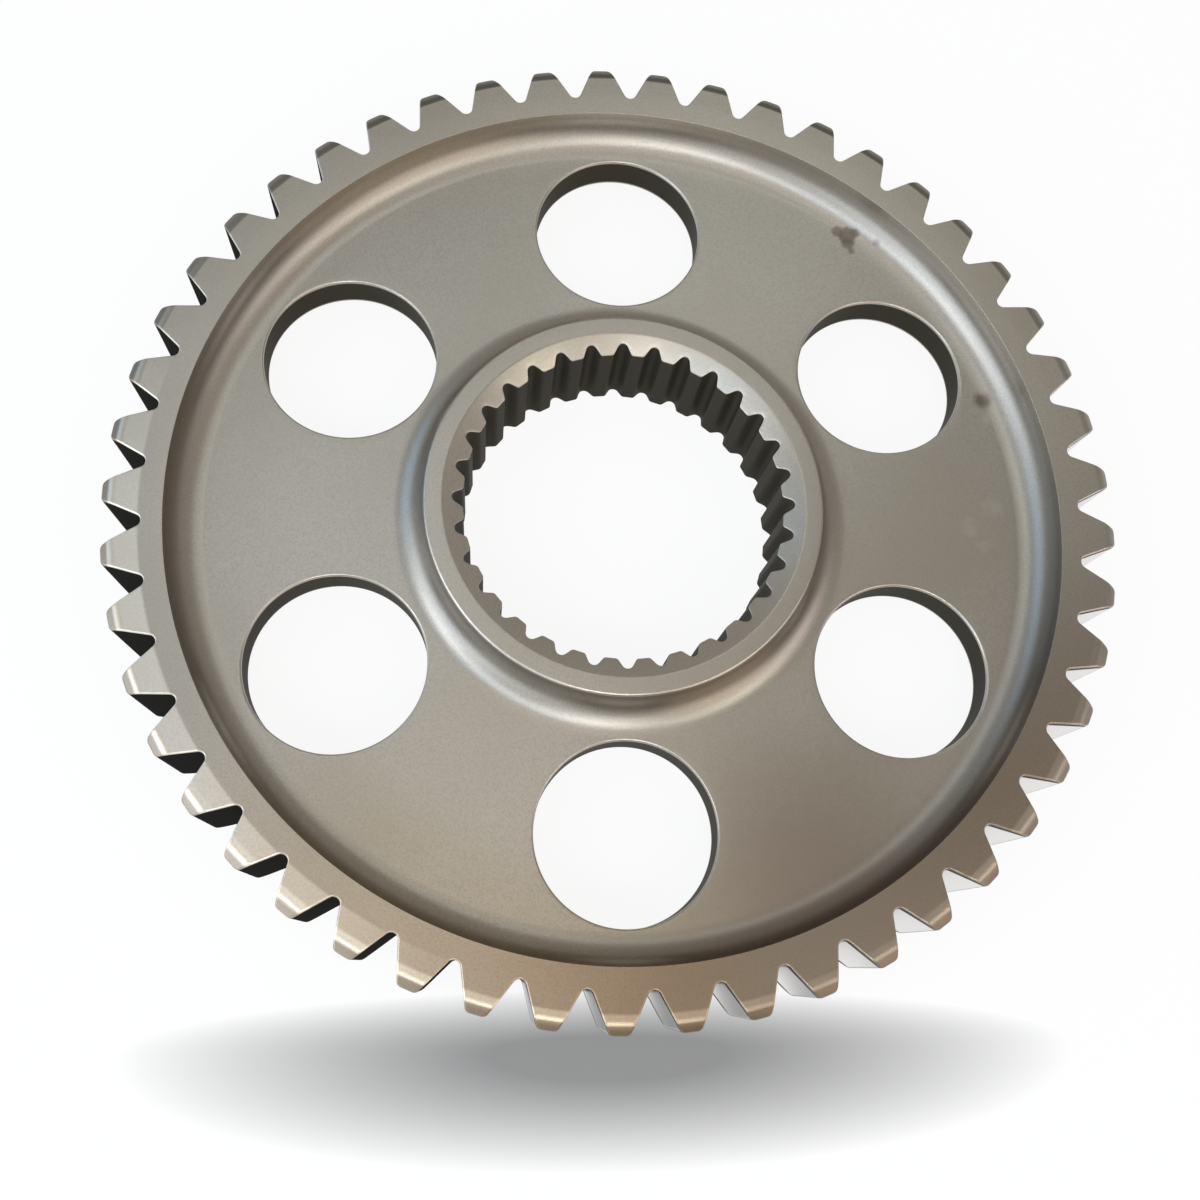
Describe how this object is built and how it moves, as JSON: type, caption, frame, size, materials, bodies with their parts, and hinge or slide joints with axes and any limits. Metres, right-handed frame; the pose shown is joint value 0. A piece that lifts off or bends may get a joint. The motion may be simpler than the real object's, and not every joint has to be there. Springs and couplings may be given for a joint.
{
  "type": "chain sprocket",
  "caption": "Steel sprocket for an inverted-tooth chain: toothed rim, dished web with round lightening holes, and a hub with an internal spline.",
  "frame": {"origin": "on the bore's axis, at the middle of the face width", "axes": "+Z along the bore's axis, out of the front face; +X through the middle of a spline groove, midway between two lightening holes"},
  "size_m": [0.1474, 0.1474, 0.0174],
  "materials": {
    "steel": "bare steel, bead-blasted to a fine satin grain"
  },
  "bodies": {
    "root": {"sprocket": "steel"}
  },
  "joints": []
}
